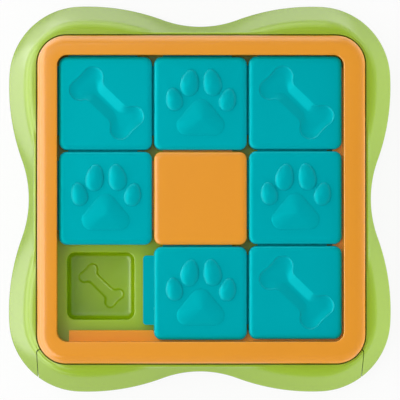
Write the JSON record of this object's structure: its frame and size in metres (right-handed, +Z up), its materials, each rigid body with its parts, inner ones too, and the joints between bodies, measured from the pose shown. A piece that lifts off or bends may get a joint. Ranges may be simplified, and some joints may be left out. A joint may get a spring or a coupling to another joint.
{
  "type": "sliding treat puzzle",
  "caption": "Square dog puzzle feeder: tiles with paws and bones slide in a raised frame over treat cups in a pull-out drawer, on a wavy four-lobed base.",
  "frame": {"origin": "on the ground, under the middle of the toy", "axes": "+Z up, -Y towards the drawer's front, +X to the right"},
  "size_m": [0.2656, 0.268, 0.048],
  "materials": {
    "lime": "glossy moulded",
    "orange": "glossy moulded",
    "teal": "glossy moulded",
    "rubber": "matt",
    "steel": "plated"
  },
  "bodies": {
    "base": {"base_shell": "lime", "base_floor": "lime", "floor_screws": "steel", "frame_bezel": "orange", "guide_frame": "orange", "frame_screws": "steel", "foot_front_left": "rubber", "foot_front_right": "rubber", "foot_back_left": "rubber", "foot_back_right": "rubber", "cap_back_left": "teal", "cap_back_centre": "teal", "cap_back_right": "teal", "cap_middle_left": "teal", "cap_middle_centre": "orange", "cap_middle_right": "teal", "slider_back_left": "teal", "slider_back_centre": "teal", "slider_back_right": "teal", "slider_middle_left": "teal", "slider_middle_centre": "orange", "slider_middle_right": "teal"},
    "drawer": {"treat_tray": "lime", "drawer_front": "lime"},
    "front_right_tile": {"cap_front_right": "teal", "slider_front_right": "teal"},
    "front_centre_tile": {"cap_front_centre": "teal", "slider_front_centre": "teal"}
  },
  "joints": [
    {"name": "drawer_slide", "type": "slide", "parent": "base", "child": "drawer", "axis": [0, -1, 0], "range_m": [0, 0.15]},
    {"name": "slide_front_right_tile", "type": "slide", "parent": "base", "child": "front_right_tile", "axis": [-1, 0, 0], "range_m": [0, 0.065]},
    {"name": "slide_front_centre_tile", "type": "slide", "parent": "base", "child": "front_centre_tile", "axis": [-1, 0, 0], "range_m": [0, 0.065]}
  ],
  "couplings": [
    {"joint": "slide_front_centre_tile", "follows": "slide_front_right_tile", "ratio": 1}
  ]
}
